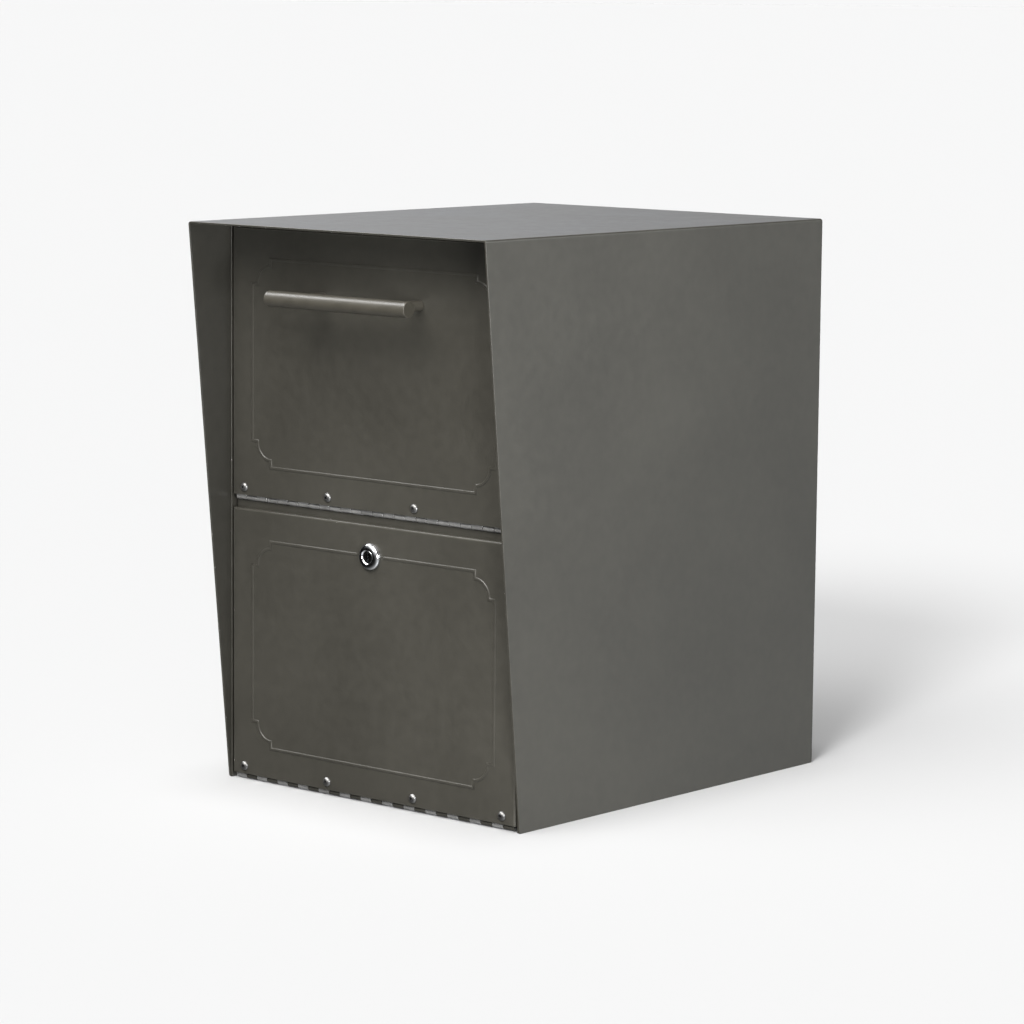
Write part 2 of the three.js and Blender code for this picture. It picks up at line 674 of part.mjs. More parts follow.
// Threaded housing with a domed bezel in front of the door skin.
function makeLockHousing() {
  const seat = DOOR_FACE - FIT;
  const bore = PLUG_RADIUS + FIT;
  const body = turnedAlongY([
    [bore, seat - 4.7], [7.6, seat - 4.7], [9.8, seat - 4.2], [12.2, seat - 2.4],
    [13.2, seat - 0.6], [13.2, seat], [LOCK_BODY_RADIUS, seat], [LOCK_BODY_RADIUS, BODY_END],
    [bore, BODY_END], [bore, seat - 4.7],
  ], 28);
  add('lock_housing', body.translate(0, 0, LOCK_Z), chrome());
  const nut = hexNut(22, 3, LOCK_BODY_RADIUS + FIT, 24).translate(0, SKIN_BACK + FIT, LOCK_Z);
  add('lock_nut', nut, zincSteel());
}

function makeLockPlug() {
  const face = DOOR_FACE - FIT - 4.4;
  const rear = BODY_END + 1;
  const plug = rodAlongY(PLUG_RADIUS, face, rear, 0, LOCK_Z, 20);
  const keyway = block(-0.9, 0.9, face - 1, face + 9, LOCK_Z - 4.2, LOCK_Z + 4.2);
  const tapping = rodAlongY(CAM_SCREW_RADIUS + FIT, rear - 6, rear + 1, 0, LOCK_Z, 10);
  add('lock_plug', cut(plug, keyway, tapping), chrome());
}

// Cam on the rear of the plug. It steps forward towards its tip, to pass behind the cross member.
function makeCam() {
  const rear = BODY_END + 1;
  const hubFace = rear + FIT;
  const tipFace = FRAME_FACE + BODY_SHEET + 0.9;
  const bendNear = -12.5;
  const bendFar = -14.5;
  const arm = outline([
    [CAM_HALF_WIDTH, hubFace],
    [CAM_HALF_WIDTH, hubFace + CAM_SHEET],
    [bendFar, hubFace + CAM_SHEET],
    [bendFar, tipFace + CAM_SHEET],
    [-CAM_LENGTH, tipFace + CAM_SHEET],
    [-CAM_LENGTH, tipFace],
    [bendNear, tipFace],
    [bendNear, hubFace],
  ].reverse());
  const cam = extrude(arm, 2 * CAM_HALF_WIDTH).translate(0, 0, LOCK_Z - CAM_HALF_WIDTH);
  const camHole = rodAlongY(
    CAM_SCREW_RADIUS + FIT, hubFace - 1, hubFace + CAM_SHEET + 1, 0, LOCK_Z, 10);
  add('lock_cam', cut(cam, camHole), zincSteel());
  const headFace = hubFace + CAM_SHEET + FIT;
  const head = rodAlongY(4, headFace, headFace + 2, 0, LOCK_Z, 12);
  const shank = rodAlongY(CAM_SCREW_RADIUS, rear - 5, headFace + 1, 0, LOCK_Z, 10);
  add('cam_screw', join(head, shank), zincSteel());
}

makeWrap();
makeBackPanel();
makeFloor();
makeLiners();
makeJambs();
makeRails();
makeBaffle();
makeBumpers();
makeHinges();
makeRivets();
makeSillScrews();
makeUpperDoor();
makeDoorScrews('upper', UPPER_PIN_Z);
makeHandle();
makeTray();
makeCheeks();
makeLowerDoor();
makeDoorScrews('lower', LOWER_PIN_Z);
makeLockHousing();
makeLockPlug();
makeCam();

export default box;
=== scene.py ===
"""Looks of a locking drop-box mailbox of painted sheet steel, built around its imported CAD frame.

Every piece is made in mesh code from the place of the CAD node it stands for. Lengths are metres.
"""

import json
import math

import bmesh
import bpy
from mathutils import Matrix, Vector


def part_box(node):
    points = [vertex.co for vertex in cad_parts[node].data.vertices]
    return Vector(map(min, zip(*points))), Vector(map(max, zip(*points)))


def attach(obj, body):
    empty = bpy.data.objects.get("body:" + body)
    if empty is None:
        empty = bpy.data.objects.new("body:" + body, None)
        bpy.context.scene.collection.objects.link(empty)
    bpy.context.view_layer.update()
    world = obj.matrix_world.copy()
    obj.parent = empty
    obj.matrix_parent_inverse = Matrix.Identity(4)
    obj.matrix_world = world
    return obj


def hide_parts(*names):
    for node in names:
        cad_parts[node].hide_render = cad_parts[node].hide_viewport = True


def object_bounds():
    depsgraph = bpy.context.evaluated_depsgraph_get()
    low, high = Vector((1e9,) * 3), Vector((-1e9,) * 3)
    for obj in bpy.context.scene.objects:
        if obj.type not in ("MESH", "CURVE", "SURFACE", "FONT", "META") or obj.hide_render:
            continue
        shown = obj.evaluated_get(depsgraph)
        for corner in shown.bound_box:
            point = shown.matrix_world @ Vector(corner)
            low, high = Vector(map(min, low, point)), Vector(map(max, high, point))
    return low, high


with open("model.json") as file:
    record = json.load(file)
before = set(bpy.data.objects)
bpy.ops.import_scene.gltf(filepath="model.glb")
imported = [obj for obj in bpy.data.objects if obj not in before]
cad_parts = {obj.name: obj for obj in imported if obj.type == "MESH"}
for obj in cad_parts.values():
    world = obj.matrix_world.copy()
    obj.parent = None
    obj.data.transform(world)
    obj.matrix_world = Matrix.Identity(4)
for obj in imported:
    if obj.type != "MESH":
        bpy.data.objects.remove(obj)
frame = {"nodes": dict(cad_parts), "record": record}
CAD_LOW, CAD_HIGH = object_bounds()
RECORD = frame["record"]
BODY_OF = {n: body for body, nodes in RECORD["behaviour"]["bodies"].items() for n in nodes}
SLOT_OF = {row["node"]: row["material_slot"] for row in RECORD["subparts"]}
SCENE = bpy.context.scene

MM = 0.001

# Sheets, and how they are folded and finished at their edges.
WRAP_SHEET = 1.9 * MM
SHEET = 1.5 * MM
LEAF_SHEET = 1.2 * MM
BEND_INSIDE = 0.8 * MM
BEND_OUTSIDE = 2.3 * MM
BEND_OUTSIDE_DOOR = 2.1 * MM
BEND_INSIDE_DOOR = 0.7 * MM
EDGE_ROUND = 0.3 * MM
SHARP = math.radians(50)
FLAT = math.radians(0.5)

# Planes read from the frame.
BEAD_HEIGHT = 0.8 * MM
DOOR_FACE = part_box("upper_door_panel")[0].y + BEAD_HEIGHT
SKIN_BACK = DOOR_FACE + SHEET

# Bead pressed into each door. Near the lock it fades into the flat face.
BEAD_HALF_WIDTH = 157.5 * MM
BEAD_MARGIN_BOTTOM = 29.6 * MM
BEAD_MARGIN_TOP = 30 * MM
BEAD_CORNER_RUN = 25 * MM
BEAD_RADIUS = 18 * MM
BEAD_HALF = 1.9 * MM
BEAD_PROUD = 0.6 * MM
LOCK_CLEAR = 15.2 * MM
LOCK_FADE = 3.4 * MM

# Hinges: rolled knuckles on drilled leaves.
KNUCKLES = 26
KNUCKLE_PITCH = 14 * MM
KNUCKLE_GAP = 0.9 * MM
KNUCKLE_RADIUS = 2.3 * MM
KNUCKLE_TURN = math.radians(312)
LEAF_START = 2.8 * MM
LEAF_REACH = 21 * MM

# Floor: a raised strip under the door frame, and holes for the bolts that hold the box down.
STRIP_DEPTH = 25.1 * MM
STRIP_RAMP = 4 * MM
BOLT_HOLE = 5 * MM
BOLTS_ACROSS = (-100 * MM, 100 * MM)
BOLTS_ALONG = (-100 * MM, 150 * MM)

# Tray behind the upper door: a level lip by the hinge, then a slope.
TRAY_SLOPE = math.radians(25)
TRAY_ABOVE_PIN = 4.6 * MM
TRAY_LIP = 38 * MM
TRAY_LENGTH = 165 * MM

# Radii of the fasteners' shanks and of the holes they pass through. A nut is given by its flats.
FRAME_HOLE = 2 * MM
SCREW_SHANK = 2 * MM
SCREW_HOLE = 2.3 * MM
SILL_SCREW_SHANK = 1.8 * MM
POST_HOLE = 2.9 * MM
POST_SPIGOT_HOLE = 2.7 * MM
NUT_FLATS = 7 * MM
NUT_BORE = 2.05 * MM
NUT_SINK = 0.25 * MM

# Lock: radii of its parts, from the bezel's inner rim down to the plug's bore.
LOCK_HOLE = 9.6 * MM
LOCK_BODY = 9.4 * MM
LOCK_RIM = 7.9 * MM
LOCK_BORE = 6.3 * MM
LOCK_NUT_FLATS = 22 * MM
LOCK_TAPPING = 2.1 * MM
KEYWAY_HALF = 0.9 * MM
KEYWAY_TALL = 3.6 * MM

# Camera: where it stands, seen from the middle of the footprint. Azimuth and elevation are degrees.
CAMERA_AZIMUTH = 40.895
CAMERA_ELEVATION = 7.81
CAMERA_ROLL = math.radians(0.51)
CAMERA_DISTANCE = 3.7544
CAMERA_RIGHT = 0.0033
CAMERA_UP = 0.2610
CAMERA_LENS = 132.15
CAMERA_SENSOR = 36
CAMERA_REACH = 500

# Light. Azimuth 0 is in front of the doors and 90 to their right, angles are degrees.
WARM, COOL, PLAIN = (1.04, 1.0, 0.95), (0.98, 1.0, 1.02), (1, 1, 1)
BACKDROP_GLOW = 0.94
TABLE_HALF = 450
TABLE_TONE = 0.75
SUN_DISTANCE = 5
# Azimuth, elevation, sharpness, strength and colour of each wide glow.
GLOWS = [
    (0, 50, 8, 3.57, PLAIN), (-135, -12, 12, 1.15, (0.94, 0.98, 1.1)), (135, -12, 12, 0.93, COOL),
    (45, -12, 12, 0.5, PLAIN), (90, -45, 8, 1.74, COOL), (0, -90, 4, 0.6, PLAIN),
]
# Name, azimuth, elevation, spread and strength of each lamp on the table alone.
TABLE_SUNS = [("key", 21.6, 27, 14, 2.24), ("overhead", 0, 88, 16, 1.14)]
# Name, azimuth, elevation, spread, strength and colour of each far lamp on the box alone.
SUNS = [
    ("front", 0, 50, 40, 3.0, WARM), ("rim", 120, 30, 40, 1.87, COOL),
    ("left", -75, 50, 30, 3.23, PLAIN), ("back", -120, 35, 50, 0.77, PLAIN),
]
# Name, azimuth, distance, height, size, watts and colour of each near lamp on the box alone.
# The high lamp in front leaves the wrap out, so that its roof doesn't glare seen from behind.
HIGH_SOFTBOX = "soft_front"
SOFTBOXES = [
    (HIGH_SOFTBOX, 30, 1.2, 1.1, 0.6, 7.3, WARM), ("soft_side", 90, 1.0, 0.9, 0.6, 5.5, COOL),
    ("soft_low", 55, 1.2, 0.34, 0.4, 12.4, PLAIN),
]


# ---------- mesh helpers ----------


def placed(axis, along, u, v):
    """A point from its place along an axis and its two other coordinates, in XYZ order."""
    return {"X": (along, u, v), "Y": (u, along, v), "Z": (u, v, along)}[axis]


def filleted(corners, steps=4):
    """A closed outline from (u, v, radius) corners, each one rounded."""
    outline = []
    for index, (u, v, radius) in enumerate(corners):
        here = Vector((u, v))
        before = Vector(corners[index - 1][:2]) - here
        after = Vector(corners[(index + 1) % len(corners)][:2]) - here
        before.normalize()
        after.normalize()
        half = before.angle(after) / 2
        if radius == 0 or math.pi / 2 - half < 1e-4:
            outline.append(here)
            continue
        centre = here + (before + after).normalized() * radius / math.sin(half)
        first = here + before * radius / math.tan(half) - centre
        last = here + after * radius / math.tan(half) - centre
        turn = math.pi - 2 * half
        count = max(1, round(steps * turn / (math.pi / 2)))
        for step in range(count + 1):
            part = step / count
            weight_first = math.sin((1 - part) * turn) / math.sin(turn)
            weight_last = math.sin(part * turn) / math.sin(turn)
            outline.append(centre + first * weight_first + last * weight_last)
    return outline


def folded(path, thickness, inside=BEND_INSIDE, edge=EDGE_ROUND):
    """The outline of a folded sheet. The path is one face of it, and the sheet lies to its left."""
    points = [Vector(point) for point in path]
    ways = [(b - a).normalized() for a, b in zip(points, points[1:])]
    lefts = [Vector((-way.y, way.x)) for way in ways]
    near, far = [], []
    for index, point in enumerate(points):
        first, last = lefts[max(index - 1, 0)], lefts[min(index, len(lefts) - 1)]
        normal = (first + last) / (1 + first.dot(last))
        offset = point + normal * thickness
        turn = first.cross(last)
        radii = (edge, edge)
        if turn > 1e-6:
            radii = (inside + thickness, inside)
        elif turn < -1e-6:
            radii = (inside, inside + thickness)
        near.append((point.x, point.y, radii[0]))
        far.append((offset.x, offset.y, radii[1]))
    return filleted(near + far[::-1])


def prism(outline, axis, start, end):
    """A solid with one outline, from start to end along an axis."""
    bm = bmesh.new()
    rings = [[bm.verts.new(placed(axis, along, *point)) for point in outline] for along in (start, end)]
    bm.faces.new(rings[0])
    bm.faces.new(rings[1][::-1])
    for index in range(len(outline)):
        pair = (index, (index + 1) % len(outline))
        bm.faces.new([rings[0][pair[0]], rings[0][pair[1]], rings[1][pair[1]], rings[1][pair[0]]])
    bmesh.ops.recalc_face_normals(bm, faces=bm.faces)
    return bm


def block(low, high):
    """A solid between two opposite corners."""
    corners = [(low[0], low[1]), (high[0], low[1]), (high[0], high[1]), (low[0], high[1])]
    return prism(corners, "Z", low[2], high[2])


def round_edges(bm, size, segments=2, wanted=None):
    """Rounds the wanted edges, or every sharp edge, and marks the new faces as edge, where the paint is
    lighter: worn thin and a painted highlight.
    """
    mark = bm.faces.layers.float.get("edge") or bm.faces.layers.float.new("edge")
    edges = [
        e for e in bm.edges
        if len(e.link_faces) == 2 and e.calc_face_angle(0) > SHARP and (wanted is None or wanted(e))
    ]
    made = bmesh.ops.bevel(
        bm, geom=edges, offset=size, segments=segments, profile=0.5, affect="EDGES",
        clamp_overlap=True)
    for face in made["faces"]:
        face[mark] = 1.0
    return bm


def loose_object(bm, name):
    mesh = bpy.data.meshes.new(name)
    bm.to_mesh(mesh)
    bm.free()
    obj = bpy.data.objects.new(name, mesh)
    SCENE.collection.objects.link(obj)
    return obj


def boolean(bm, cutter, operation="DIFFERENCE"):
    """bm less the cutter, both solids."""
    base = loose_object(bm, "base")
    tool = loose_object(cutter, "tool")
    modifier = base.modifiers.new("cut", "BOOLEAN")
    modifier.operation = operation
    modifier.solver = "EXACT"
    modifier.object = tool
    evaluated = base.evaluated_get(bpy.context.evaluated_depsgraph_get())
    result = bmesh.new()
    result.from_mesh(evaluated.to_mesh())
    for obj in (base, tool):
        mesh = obj.data
        bpy.data.objects.remove(obj)
        bpy.data.meshes.remove(mesh)
    return result


def merged(*parts):
    """One bmesh that holds several."""
    result = parts[0]
    for part in parts[1:]:
        mesh = bpy.data.meshes.new("part")
        part.to_mesh(mesh)
        part.free()
        result.from_mesh(mesh)
        bpy.data.meshes.remove(mesh)
    return result


def from_cad(node):
    """The CAD node's own mesh, its flat areas made into single faces."""
    bm = bmesh.new()
    bm.from_mesh(frame["nodes"][node].data)
    bmesh.ops.remove_doubles(bm, verts=bm.verts, dist=0.01 * MM)
    bmesh.ops.dissolve_limit(
        bm, angle_limit=FLAT, verts=bm.verts, edges=bm.edges, use_dissolve_boundaries=False)
    return bm


def ring_radius(shape, angle):
    """Radius of a circle or of a hexagon, given by its inner radius, at an angle."""
    kind, radius = shape
    if kind == "round":
        return radius
    sixth = math.pi / 3
    return radius / math.cos((angle % sixth) - sixth / 2)


def turned(axis, centre, rings, sides=24, caps=(True, True)):
    """A solid of rings along an axis. Each ring is (place along the axis, shape, radius)."""
    bm = bmesh.new()
    loops = []
    for along, kind, radius in rings:
        loop = []
        for index in range(sides):
            angle = 2 * math.pi * (index + 0.5) / sides
            reach = ring_radius((kind, radius), angle)
            u = centre[0] + reach * math.cos(angle)
            v = centre[1] + reach * math.sin(angle)
            loop.append(bm.verts.new(placed(axis, along, u, v)))
        loops.append(loop)
    pairs = list(zip(loops, loops[1:]))
    if caps == "loop":
        pairs.append((loops[-1], loops[0]))
    for first, second in pairs:
        for index in range(sides):
            after = (index + 1) % sides
            bm.faces.new([first[index], first[after], second[after], second[index]])
    if caps != "loop":
        if caps[0]:
            bm.faces.new(loops[0])
        if caps[1]:
            bm.faces.new(loops[-1][::-1])
    bmesh.ops.recalc_face_normals(bm, faces=bm.faces)
    return bm


def piece(bm, node, *materials):
    """Makes the piece that stands for a CAD node and rides on its body."""
    bmesh.ops.recalc_face_normals(bm, faces=bm.faces)
    obj = loose_object(bm, f"{node}_looks")
    mesh = obj.data
    mesh.polygons.foreach_set("use_smooth", [True] * len(mesh.polygons))
    mesh.set_sharp_from_angle(angle=SHARP)
    for material in materials or [MATERIALS[SLOT_OF[node]]]:
        mesh.materials.append(material)
    normals = obj.modifiers.new("flat faces stay flat", "WEIGHTED_NORMAL")
    normals.keep_sharp = True
    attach(obj, BODY_OF[node])
    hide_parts(node)
    return obj


def centre_of(node):
    low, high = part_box(node)
    return (low + high) / 2


# ---------- materials ----------


def new_material(name):
    material = bpy.data.materials.new(name)
    material.use_nodes = True
    tree = material.node_tree
    shader = tree.nodes["Principled BSDF"]
    return material, tree, shader


def add_node(tree, kind, inputs=None, **settings):
    made = tree.nodes.new(kind)
    for key, value in settings.items():
        setattr(made, key, value)
    for key, value in (inputs or {}).items():
        if isinstance(value, bpy.types.NodeSocket):
            tree.links.new(value, made.inputs[key])
        else:
            made.inputs[key].default_value = value
    return made


def noise(tree, vector, scale, detail=2.0, roughness=0.5):
    """Smooth noise with that many cells to the metre."""
    settings = {"Vector": vector, "Scale": scale, "Detail": detail, "Roughness": roughness}
    return add_node(tree, "ShaderNodeTexNoise", settings).outputs["Fac"]


def remapped(tree, value, low, high, to_low, to_high):
    inputs = {"Value": value, "From Min": low, "From Max": high, "To Min": to_low, "To Max": to_high}
    made = add_node(tree, "ShaderNodeMapRange", inputs, clamp=True)
    return made.outputs["Result"]


def maths(tree, operation, first, second):
    return add_node(tree, "ShaderNodeMath", {0: first, 1: second}, operation=operation).outputs[0]


def mixed(tree, factor, first, second):
    made = add_node(tree, "ShaderNodeMix", data_type="RGBA")
    for key, value in (("Factor", factor), ("A", first), ("B", second)):
        socket = next(s for s in made.inputs if s.name == key and s.type in ("RGBA", "VALUE") and s.enabled)
        if isinstance(value, bpy.types.NodeSocket):
            tree.links.new(value, socket)
        else:
            socket.default_value = value
    return next(s for s in made.outputs if s.enabled)


def bumped(tree, shader, heights):
    """Bump from (height, distance) pairs, one after another."""
    normal = None
    for height, distance in heights:
        inputs = {"Height": height, "Distance": distance, "Strength": 1.0}
        if normal is not None:
            inputs["Normal"] = normal
        normal = add_node(tree, "ShaderNodeBump", inputs).outputs["Normal"]
    tree.links.new(normal, shader.inputs["Normal"])


def powder_coat(name, colour, roughness, edge_wear_and_highlight=1.0):
    """Powder coat: fine grain, orange peel and slow drifts of tone; lighter on edges, partly thinner paint
    and partly a painted highlight.
    """
    material, tree, shader = new_material(name)
    at = add_node(tree, "ShaderNodeTexCoord").outputs["Object"]
    drift = noise(tree, at, 7, 3)
    mottle = noise(tree, at, 90, 4, 0.6)
    peel = noise(tree, at, 520, 2)
    grain = noise(tree, at, 2600, 1)
    lighter = tuple(c * 1.16 for c in colour) + (1,)
    darker = tuple(c * 0.86 for c in colour) + (1,)
    tone = maths(tree, "ADD", maths(tree, "MULTIPLY", drift, 0.55), maths(tree, "MULTIPLY", mottle, 0.45))
    coat = mixed(tree, remapped(tree, tone, 0.35, 0.65, 0, 1), darker, lighter)
    edge = add_node(tree, "ShaderNodeAttribute", attribute_name="edge").outputs["Fac"]
    # Edge faces turn lighter: paint worn thin, plus a painted highlight along the edge.
    thin_paint_and_highlight_mask = maths(tree, "MULTIPLY", edge, remapped(tree, mottle, 0.3, 0.7, 0.25 * edge_wear_and_highlight, 0.8 * edge_wear_and_highlight))
    thin_paint_and_highlight_colour = mixed(tree, thin_paint_and_highlight_mask, coat, tuple(min(1, c * 1.4 + 0.005) for c in colour) + (1,))
    chips = maths(tree, "MULTIPLY", edge, remapped(tree, noise(tree, at, 210, 2), 0.71, 0.74, 0, edge_wear_and_highlight))
    tree.links.new(mixed(tree, chips, thin_paint_and_highlight_colour, (0.42, 0.41, 0.39, 1)), shader.inputs["Base Color"])
    rough = remapped(tree, maths(tree, "ADD", tone, maths(tree, "MULTIPLY", grain, 0.25)),
                     0.4, 0.9, roughness - 0.05, roughness + 0.07)
    tree.links.new(rough, shader.inputs["Roughness"])
    shader.inputs["Metallic"].default_value = 0.0
    shader.inputs["IOR"].default_value = 1.5
    bumped(tree, shader, [(peel, 0.012 * MM), (grain, 0.003 * MM)])
    return material


def plated(name, colour, roughness, streak, metallic):
    """Dull zinc plate with a fine drawn grain and greyer patches."""
    material, tree, shader = new_material(name)
    at = add_node(tree, "ShaderNodeTexCoord").outputs["Object"]
    stretch = add_node(tree, "ShaderNodeMapping", {"Vector": at, "Scale": streak}).outputs["Vector"]
    drawn = noise(tree, stretch, 900, 3)
    patch = noise(tree, at, 60, 3)
    dull = tuple(c * 0.72 for c in colour) + (1,)
    bright = tuple(min(1, c * 1.08) for c in colour) + (1,)
    tree.links.new(mixed(tree, remapped(tree, patch, 0.35, 0.65, 0, 1), dull, bright),
                   shader.inputs["Base Color"])
    rough = remapped(tree, drawn, 0.3, 0.7, roughness - 0.06, roughness + 0.1)
    tree.links.new(rough, shader.inputs["Roughness"])
    shader.inputs["Metallic"].default_value = metallic
    bumped(tree, shader, [(drawn, 0.004 * MM)])
    return material


def polished_chrome(name):
    """Chrome plate with faint polishing haze."""
    material, tree, shader = new_material(name)
    at = add_node(tree, "ShaderNodeTexCoord").outputs["Object"]
    haze = noise(tree, at, 300, 3)
    tree.links.new(mixed(tree, haze, (0.5, 0.51, 0.53, 1), (0.64, 0.65, 0.66, 1)),
                   shader.inputs["Base Color"])
    tree.links.new(remapped(tree, haze, 0.3, 0.7, 0.14, 0.22), shader.inputs["Roughness"])
    shader.inputs["Metallic"].default_value = 1.0
    bumped(tree, shader, [(noise(tree, at, 700, 1), 0.002 * MM)])
    return material


def rubber(name):
    """Matt black rubber with a dusty bloom."""
    material, tree, shader = new_material(name)
    at = add_node(tree, "ShaderNodeTexCoord").outputs["Object"]
    bloom = noise(tree, at, 400, 4)
    tree.links.new(mixed(tree, bloom, (0.012, 0.012, 0.012, 1), (0.035, 0.035, 0.034, 1)),
                   shader.inputs["Base Color"])
    tree.links.new(remapped(tree, bloom, 0.3, 0.7, 0.62, 0.85), shader.inputs["Roughness"])
    bumped(tree, shader, [(noise(tree, at, 1500, 2), 0.02 * MM)])
    return material


MATERIALS = {
    "bronze_paint": powder_coat("bronze_powder_coat", (0.0342, 0.0328, 0.0275), 0.34),
    "handle_bronze": powder_coat("handle_coat", (0.042, 0.039, 0.031), 0.42, 0.6),
    "zinc_steel": plated("zinc_plate", (0.2, 0.2, 0.198), 0.36, (0.15, 1, 1), 0.92),
    "chrome": polished_chrome("polished_chrome"),
    "rubber_stop": rubber("black_rubber"),
}


# ---------- casing ----------


def make_wrap():
    """Bent roof and sides. The side's front edges slope back to the foot of the doors."""
    low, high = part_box("outer_wrap")
    path = [(high.x, 0), (high.x, high.z), (low.x, high.z), (low.x, 0)]
    bm = prism(folded(path, WRAP_SHEET, edge=0), "Y", low.y, high.y)
    top = Vector((0, low.y, high.z - WRAP_SHEET - BEND_INSIDE))
    foot = Vector((0, DOOR_FACE, 0))
    along = foot - top
    bmesh.ops.bisect_plane(
        bm, geom=bm.verts[:] + bm.edges[:] + bm.faces[:], plane_co=foot,
        plane_no=Vector((0, along.z, -along.y)), clear_outer=True, dist=0.001 * MM)
    bmesh.ops.holes_fill(bm, edges=[e for e in bm.edges if e.is_boundary], sides=0)

    def is_foot_corner(edge):
        across = abs(edge.verts[0].co.x - edge.verts[1].co.x) > WRAP_SHEET / 2
        return across and max(v.co.z for v in edge.verts) < MM and edge.calc_length() < 3 * WRAP_SHEET

    round_edges(bm, 2.2 * MM, 3, is_foot_corner)
    piece(round_edges(bm, 0.35 * MM), "outer_wrap")


def open_pan(low, high, hollow_low, hollow_high, bends):
    """A pan with its flanges turned along Y. bends says which edges are folds."""
    bm = boolean(block(low, high), block(hollow_low, hollow_high))
    bmesh.ops.dissolve_limit(
        bm, angle_limit=FLAT, verts=bm.verts, edges=bm.edges,
        use_dissolve_boundaries=False)
    for is_bend, size in bends:
        round_edges(bm, size, 4, is_bend)
    return round_edges(bm, EDGE_ROUND)


def lies_at(edge, axis, value):
    return all(abs(vert.co[axis] - value) < 0.02 * MM for vert in edge.verts)


def make_back_panel():
    low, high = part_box("back_panel")
    inset = Vector((SHEET, 0, SHEET))
    hollow_low = low + inset - Vector((0, SHEET, 0))
    hollow_high = high - inset - Vector((0, SHEET, 0))
    bm = open_pan(low, high, hollow_low, hollow_high, [
        (lambda e: lies_at(e, 1, high.y), BEND_OUTSIDE),
        (lambda e: lies_at(e, 1, high.y - SHEET), BEND_INSIDE),
    ])
    piece(bm, "back_panel")


def make_floor():
    """Floor with a raised front strip, drilled for bolts and for the sill's screws."""
    low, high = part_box("floor_panel")
    screw = centre_of("sill_screw_1")
    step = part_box("front_sill")[0].z - SHEET - 0.3 * MM
    strip_end = low.y + STRIP_DEPTH
    path = [(low.y, step), (strip_end, step), (strip_end + STRIP_RAMP, 0), (high.y, 0)]
    bm = prism(folded(path, SHEET, edge=0), "X", low.x, high.x)
    bolts = [(x, y, BOLT_HOLE) for x in BOLTS_ACROSS for y in BOLTS_ALONG]
    screws = [(centre_of(f"sill_screw_{n}").x, screw.y, FRAME_HOLE) for n in range(1, 5)]
    for x, y, radius in bolts + screws:
        hole = [(-5 * MM, "round", radius), (10 * MM, "round", radius)]
        bm = boolean(bm, turned("Z", (x, y), hole, 24))
    piece(round_edges(bm, EDGE_ROUND), "floor_panel")


def make_liners():
    for node in ("side_liner_left", "side_liner_right"):
        low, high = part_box(node)
        piece(round_edges(block(low, high), 0.4 * MM), node)


# ---------- door frame ----------


def make_jambs():
    for node, side in (("jamb_left", -1), ("jamb_right", 1)):
        low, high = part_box(node)
        near, far = (low.x, high.x) if side > 0 else (high.x, low.x)
        path = [(near, low.y), (far, low.y), (far, high.y)]
        outline = folded(path if side > 0 else path[::-1], SHEET)
        piece(round_edges(prism(outline, "Z", low.z, high.z), EDGE_ROUND), node)


def make_rails():
    """Angles across the opening: each has an upright web and a flange turned back."""
    for node, flange_up in (("header_rail", True), ("cross_member", True), ("front_sill", False)):
        low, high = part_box(node)
        if flange_up:
            path = [(high.y, high.z), (low.y, high.z), (low.y, low.z)]
        else:
            path = [(low.y, high.z), (low.y, low.z), (high.y, low.z)]
        bm = prism(folded(path, SHEET), "X", low.x, high.x)
        if node == "cross_member":
            for number in range(1, 5):
                place = centre_of(f"hinge_rivet_{number}")
                rings = [(low.y - MM, "round", FRAME_HOLE), (low.y + 3 * MM, "round", FRAME_HOLE)]
                bm = boolean(bm, turned("Y", (place.x, place.z), rings, 16))
        if node == "front_sill":
            for number in range(1, 5):
                place = centre_of(f"sill_screw_{number}")
                rings = [(low.z - MM, "round", FRAME_HOLE), (low.z + 3 * MM, "round", FRAME_HOLE)]
                bm = boolean(bm, turned("Z", (place.x, place.y), rings, 16))
        piece(round_edges(bm, EDGE_ROUND), node)


def make_baffle():
    low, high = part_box("rear_baffle")
    path = [(low.y, low.z), (low.y, high.z), (high.y, high.z)]
    outline = folded(path[::-1], SHEET)
    piece(round_edges(prism(outline, "X", low.x, high.x), EDGE_ROUND), "rear_baffle")


def make_bumpers():
    """Rubber stops with a rounded front edge."""
    for door in ("lower", "upper"):
        for hand in ("left", "right"):
            node = f"{door}_bumper_{hand}"
            low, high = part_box(node)
            middle = (low + high) / 2
            radius = (high.z - low.z) / 2
            rings = [
                (low.y, "round", radius - 0.9 * MM),
                (low.y + 0.12 * MM, "round", radius - 0.45 * MM),
                (low.y + 0.5 * MM, "round", radius - 0.05 * MM),
                (low.y + 0.9 * MM, "round", radius),
                (high.y, "round", radius),
            ]
            piece(turned("Y", (middle.x, middle.z), rings, 28), node)


# ---------- hinges ----------


def knuckle_outline(pin, ways):
    """Outline of a leaf rolled round the pin. The ways are to the leaf's face and along the leaf."""
    inner = KNUCKLE_RADIUS - LEAF_SHEET
    forward, away = ways
    steps = 14
    angles = [KNUCKLE_TURN * step / steps for step in range(steps + 1)]
    outline = [(KNUCKLE_RADIUS, angle) for angle in angles]
    outline += [(inner, angle) for angle in reversed(angles)]
    points = []
    for radius, angle in outline:
        points.append(pin + forward * radius * math.cos(angle) - away * radius * math.sin(angle))
    points.append(pin + forward * inner + away * LEAF_START)
    points.append(pin + forward * KNUCKLE_RADIUS + away * LEAF_START)
    return points


